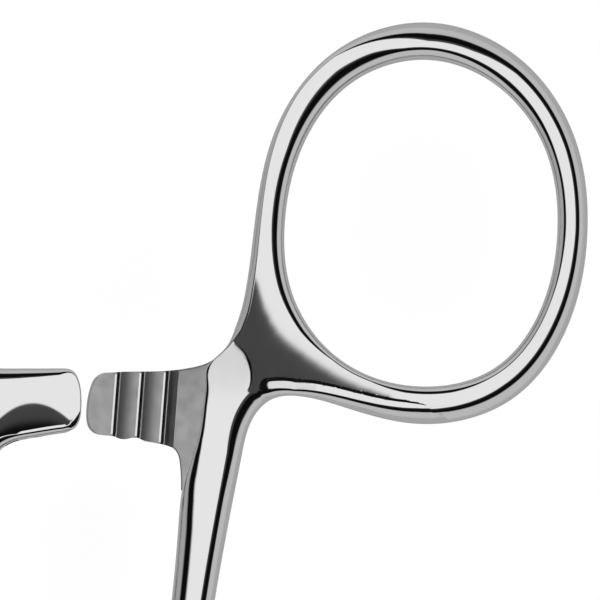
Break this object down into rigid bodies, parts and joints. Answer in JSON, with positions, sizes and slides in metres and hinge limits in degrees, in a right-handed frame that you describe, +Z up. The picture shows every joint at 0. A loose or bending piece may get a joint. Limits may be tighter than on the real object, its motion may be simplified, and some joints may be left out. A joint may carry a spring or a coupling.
{
  "type": "needle holder scissors",
  "caption": "Ring-handled steel needle holder with a toothed ratchet catch, a box-lock pivot, scissor blades for suture and serrated gripping jaws.",
  "frame": {"origin": "on the pin's axis, at the underside of the box lock that rests on the table", "axes": "+Y from the pin towards the finger rings, +X towards the box half's ring, +Z up along the pin's axis, towards the viewer of the picture"},
  "size_m": [0.0806, 0.14, 0.0048],
  "materials": {
    "polished_steel": "polished, satin on the ratchet teeth and gripping faces"
  },
  "bodies": {
    "box_side": {"box_half": "polished_steel", "pivot_pin": "polished_steel"},
    "through_side": {"through_half": "polished_steel"}
  },
  "joints": [
    {"name": "box_lock", "type": "hinge", "parent": "box_side", "child": "through_side", "pos_m": [0, 0, 0.0024], "axis": [0, 0, 1], "range_deg": [-4, 40]}
  ]
}
